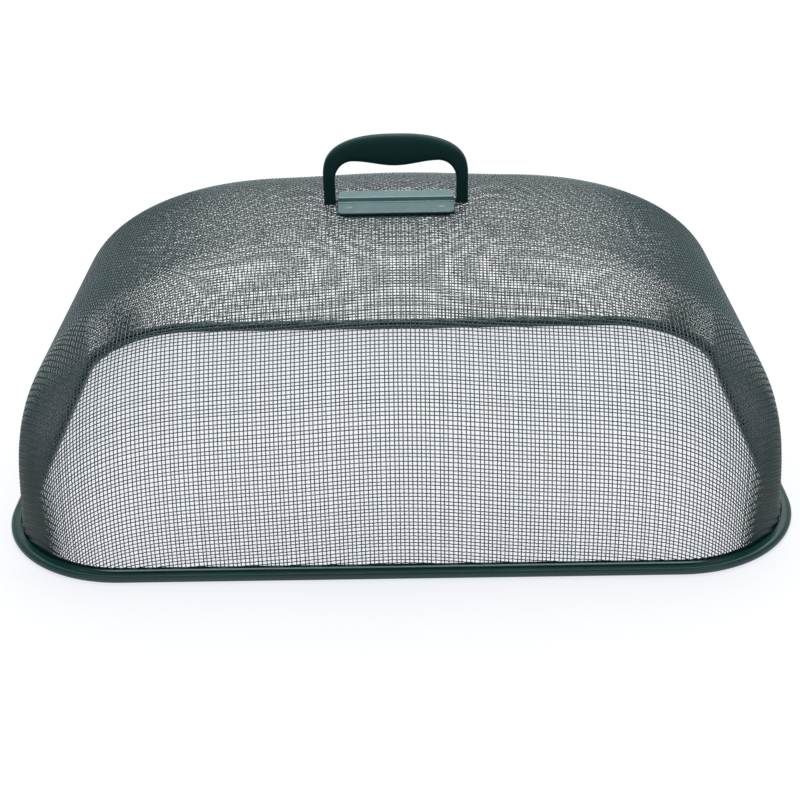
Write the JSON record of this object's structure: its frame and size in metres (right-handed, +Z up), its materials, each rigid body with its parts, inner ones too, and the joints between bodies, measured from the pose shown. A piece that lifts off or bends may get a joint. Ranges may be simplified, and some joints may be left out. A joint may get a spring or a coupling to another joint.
{
  "type": "mesh food cover",
  "caption": "Rigid food cover: a rounded rectangular dome of woven wire cloth in a rolled steel rim, with a moulded carry handle that folds down on a pressed top plate.",
  "frame": {"origin": "on the resting plane, under the middle of the rim", "axes": "+X along the cover's length and the handle's rod, +Y to the back, +Z up"},
  "size_m": [0.468, 0.342, 0.2047],
  "materials": {
    "rim_paint": "smooth dark green coating, half gloss",
    "cloth_coating": "thin dark green coating over woven wire",
    "plate_paint": "grey-green coating, half gloss",
    "backing_paint": "smooth dark green coating",
    "rod_paint": "smooth dark green coating",
    "handle_plastic": "moulded, fine satin"
  },
  "bodies": {
    "cover": {"rim_strip": "rim_paint", "mesh_dome": "cloth_coating", "handle_plate": "plate_paint", "backing_plate": "backing_paint", "pivot_rod": "rod_paint"},
    "handle": {"carry_handle": "handle_plastic"}
  },
  "joints": [
    {"name": "handle_fold", "type": "hinge", "parent": "cover", "child": "handle", "pos_m": [0, 0, 0.1625], "axis": [1, 0, 0], "range_deg": [-82, 82]}
  ]
}
